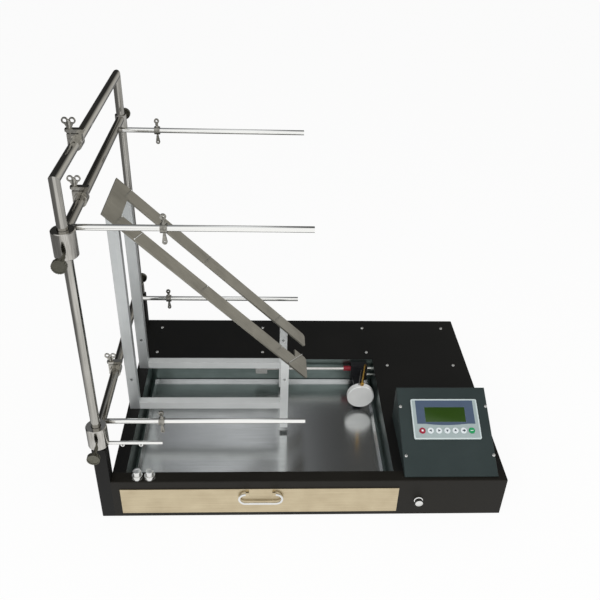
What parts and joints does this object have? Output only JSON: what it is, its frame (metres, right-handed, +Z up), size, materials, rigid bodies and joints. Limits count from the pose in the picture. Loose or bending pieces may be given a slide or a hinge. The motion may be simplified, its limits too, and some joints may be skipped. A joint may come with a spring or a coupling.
{
  "type": "flammability tester",
  "caption": "Flammability tester: low cabinet with an open well and drip drawer, 45 degree specimen holder, sliding thread rods on a tall post frame, tilting burner and sloped console.",
  "frame": {"origin": "middle of the overall box, on the table under the cabinet", "axes": "+X from the post frame towards the console, +Y from the drawer front towards the back, +Z up"},
  "size_m": [0.9474, 0.721, 0.897],
  "materials": {
    "black_coat": "black textured powder coat",
    "bare_sheet": "plain zinc-plated sheet",
    "liner_steel": "dull stainless sheet",
    "black_screw": "nickel-plated pan heads",
    "polished_stainless": "polished stainless tube and rod",
    "collar_steel": "turned and polished stainless",
    "chrome_knob": "bright chrome plate",
    "clamp_steel": "polished cast stainless",
    "stand_aluminium": "satin anodised tube",
    "holder_steel": "grey brushed stainless plate",
    "drawer_steel": "warm brushed stainless sheet",
    "foot_rubber": "black rubber",
    "console_coat": "grey-green enamel",
    "display_plastic": "pale moulded plastic with a clear window",
    "red_key_plastic": "crimson moulded key",
    "white_key_plastic": "white moulded key",
    "green_key_plastic": "green moulded key",
    "drum_aluminium": "bright turned aluminium",
    "burner_brass": "brass tube",
    "igniter_steel": "heat-dulled steel rod",
    "arm_coat": "black anodised block",
    "bumper_plastic": "dark red plastic bush",
    "inner_aluminium": "extruded aluminium",
    "inner_plastic": "black moulded plastic"
  },
  "bodies": {
    "base": {"bottom_plate": "bare_sheet", "feet": "foot_rubber", "front_panel": "black_coat", "wall_wrap": "black_coat", "deck_cover": "black_coat", "cover_screws": "black_screw", "well_liner": "liner_steel", "post_sockets": "black_coat", "post_frame": "polished_stainless", "stand_uprights": "stand_aluminium", "stand_bars": "stand_aluminium", "holder_lower": "holder_steel", "holder_pins": "chrome_knob", "console_case": "console_coat", "display_unit": "display_plastic", "guide_rod": "polished_stainless", "linear_actuator": "inner_aluminium", "gas_valve": "burner_brass", "gas_inlet": "burner_brass", "ignition_unit": "inner_plastic", "power_inlet": "inner_plastic"},
    "drawer": {"tray": "drawer_steel", "drawer_front": "drawer_steel"},
    "handle": {"drawer_handle": "chrome_knob"},
    "specimen_frame": {"holder_upper": "holder_steel", "thread_guides": "chrome_knob"},
    "upper_carriage": {"upper_collars": "collar_steel", "upper_bars": "polished_stainless"},
    "lower_carriage": {"lower_collars": "collar_steel", "lower_bars": "polished_stainless"},
    "burner_carriage": {"burner_carriage": "arm_coat", "carriage_bumper": "bumper_plastic", "actuator_rod": "polished_stainless"},
    "burner_head": {"burner_drum": "drum_aluminium", "burner_tube": "burner_brass", "igniter": "igniter_steel"},
    "upper_front_knob": {"upper_front_knob": "chrome_knob"},
    "upper_rear_knob": {"upper_rear_knob": "chrome_knob"},
    "lower_front_knob": {"lower_front_knob": "chrome_knob"},
    "lower_rear_knob": {"lower_rear_knob": "chrome_knob"},
    "top_clamp": {"top_clamp": "clamp_steel"},
    "upper_clamp": {"upper_clamp": "clamp_steel"},
    "lower_clamp": {"lower_clamp": "clamp_steel"},
    "top_wing_screw": {"top_wing_screw": "clamp_steel"},
    "upper_wing_screw": {"upper_wing_screw": "clamp_steel"},
    "lower_wing_screw": {"lower_wing_screw": "clamp_steel"},
    "upper_front_eye_collar": {"upper_front_eye_collar": "clamp_steel"},
    "upper_rear_eye_collar": {"upper_rear_eye_collar": "clamp_steel"},
    "lower_front_eye_collar": {"lower_front_eye_collar": "clamp_steel"},
    "lower_rear_eye_collar": {"lower_rear_eye_collar": "clamp_steel"},
    "stop_key": {"stop_key": "red_key_plastic"},
    "left_key": {"left_key": "white_key_plastic"},
    "right_key": {"right_key": "white_key_plastic"},
    "down_key": {"down_key": "white_key_plastic"},
    "up_key": {"up_key": "white_key_plastic"},
    "enter_key": {"enter_key": "white_key_plastic"},
    "start_key": {"start_key": "green_key_plastic"},
    "first_valve_knob": {"first_valve_knob": "chrome_knob"},
    "second_valve_knob": {"second_valve_knob": "chrome_knob"},
    "power_knob": {"power_knob": "chrome_knob"}
  },
  "joints": [
    {"name": "drawer_slide", "type": "slide", "parent": "base", "child": "drawer", "axis": [0, -1, 0], "range_m": [0, 0.3]},
    {"name": "handle_swing", "type": "hinge", "parent": "drawer", "child": "handle", "pos_m": [-0.09725, -0.3258, 0.082], "axis": [-1, 0, 0], "range_deg": [0, 90]},
    {"name": "specimen_lift", "type": "slide", "parent": "base", "child": "specimen_frame", "axis": [0.7071, 0, 0.7071], "range_m": [0, 0.01]},
    {"name": "upper_carriage_slide", "type": "slide", "parent": "base", "child": "upper_carriage", "axis": [0, 0, 1], "range_m": [-0.2, 0.035]},
    {"name": "lower_carriage_slide", "type": "slide", "parent": "base", "child": "lower_carriage", "axis": [0, 0, 1], "range_m": [0, 0.15]},
    {"name": "upper_front_knob_turn", "type": "hinge", "parent": "upper_carriage", "child": "upper_front_knob", "pos_m": [-0.45125, -0.3475, 0.707], "axis": [0, -1, 0], "range_deg": [-180, 180]},
    {"name": "upper_rear_knob_turn", "type": "hinge", "parent": "upper_carriage", "child": "upper_rear_knob", "pos_m": [-0.45125, 0.3475, 0.734], "axis": [0, 1, 0], "range_deg": [-180, 180]},
    {"name": "lower_front_knob_turn", "type": "hinge", "parent": "lower_carriage", "child": "lower_front_knob", "pos_m": [-0.45125, -0.3475, 0.231], "axis": [0, -1, 0], "range_deg": [-180, 180]},
    {"name": "lower_rear_knob_turn", "type": "hinge", "parent": "lower_carriage", "child": "lower_rear_knob", "pos_m": [-0.45125, 0.3475, 0.24], "axis": [0, 1, 0], "range_deg": [-180, 180]},
    {"name": "top_clamp_slide", "type": "slide", "parent": "base", "child": "top_clamp", "axis": [0, 1, 0], "range_m": [-0.12, 0.3]},
    {"name": "top_wing_turn", "type": "hinge", "parent": "top_clamp", "child": "top_wing_screw", "pos_m": [-0.46025, -0.1305, 0.878], "axis": [0, 0, 1], "range_deg": [-180, 180]},
    {"name": "upper_clamp_slide", "type": "slide", "parent": "upper_carriage", "child": "upper_clamp", "axis": [0, 1, 0], "range_m": [-0.08, 0.06]},
    {"name": "upper_wing_turn", "type": "hinge", "parent": "upper_clamp", "child": "upper_wing_screw", "pos_m": [-0.46025, -0.1545, 0.771], "axis": [0, 0, 1], "range_deg": [-180, 180]},
    {"name": "lower_clamp_slide", "type": "slide", "parent": "lower_carriage", "child": "lower_clamp", "axis": [0, 1, 0], "range_m": [-0.1, 0.1]},
    {"name": "lower_wing_turn", "type": "hinge", "parent": "lower_clamp", "child": "lower_wing_screw", "pos_m": [-0.46025, -0.0765, 0.277], "axis": [0, 0, 1], "range_deg": [-180, 180]},
    {"name": "upper_front_eye_slide", "type": "slide", "parent": "upper_carriage", "child": "upper_front_eye_collar", "axis": [1, 0, 0], "range_m": [-0.1, 0.25]},
    {"name": "upper_rear_eye_slide", "type": "slide", "parent": "upper_carriage", "child": "upper_rear_eye_collar", "axis": [1, 0, 0], "range_m": [-0.05, 0.3]},
    {"name": "lower_front_eye_slide", "type": "slide", "parent": "lower_carriage", "child": "lower_front_eye_collar", "axis": [1, 0, 0], "range_m": [-0.08, 0.3]},
    {"name": "lower_rear_eye_slide", "type": "slide", "parent": "lower_carriage", "child": "lower_rear_eye_collar", "axis": [1, 0, 0], "range_m": [-0.04, 0.3]},
    {"name": "burner_advance", "type": "slide", "parent": "base", "child": "burner_carriage", "axis": [1, 0, 0], "range_m": [-0.15, 0]},
    {"name": "burner_tilt", "type": "hinge", "parent": "burner_carriage", "child": "burner_head", "pos_m": [0.16825, 0.0185, 0.082], "axis": [0, -1, 0], "range_deg": [0, 45]},
    {"name": "stop_key_press", "type": "slide", "parent": "base", "child": "stop_key", "axis": [0, 0.4187, -0.9081], "range_m": [0, 0.001], "stiffness_N_per_m": 500, "springref_m": -0.0008},
    {"name": "left_key_press", "type": "slide", "parent": "base", "child": "left_key", "axis": [0, 0.4187, -0.9081], "range_m": [0, 0.001], "stiffness_N_per_m": 500, "springref_m": -0.0008},
    {"name": "right_key_press", "type": "slide", "parent": "base", "child": "right_key", "axis": [0, 0.4187, -0.9081], "range_m": [0, 0.001], "stiffness_N_per_m": 500, "springref_m": -0.0008},
    {"name": "down_key_press", "type": "slide", "parent": "base", "child": "down_key", "axis": [0, 0.4187, -0.9081], "range_m": [0, 0.001], "stiffness_N_per_m": 500, "springref_m": -0.0008},
    {"name": "up_key_press", "type": "slide", "parent": "base", "child": "up_key", "axis": [0, 0.4187, -0.9081], "range_m": [0, 0.001], "stiffness_N_per_m": 500, "springref_m": -0.0008},
    {"name": "enter_key_press", "type": "slide", "parent": "base", "child": "enter_key", "axis": [0, 0.4187, -0.9081], "range_m": [0, 0.001], "stiffness_N_per_m": 500, "springref_m": -0.0008},
    {"name": "start_key_press", "type": "slide", "parent": "base", "child": "start_key", "axis": [0, 0.4187, -0.9081], "range_m": [0, 0.001], "stiffness_N_per_m": 500, "springref_m": -0.0008},
    {"name": "first_valve_turn", "type": "hinge", "parent": "base", "child": "first_valve_knob", "pos_m": [-0.37725, -0.3035, 0.126], "axis": [0, 0, 1], "range_deg": [0, 270]},
    {"name": "second_valve_turn", "type": "hinge", "parent": "base", "child": "second_valve_knob", "pos_m": [-0.34925, -0.3035, 0.126], "axis": [0, 0, 1], "range_deg": [0, 270]},
    {"name": "power_turn", "type": "hinge", "parent": "base", "child": "power_knob", "pos_m": [0.27175, -0.3245, 0.054], "axis": [0, -1, 0], "range_deg": [0, 90]}
  ]
}
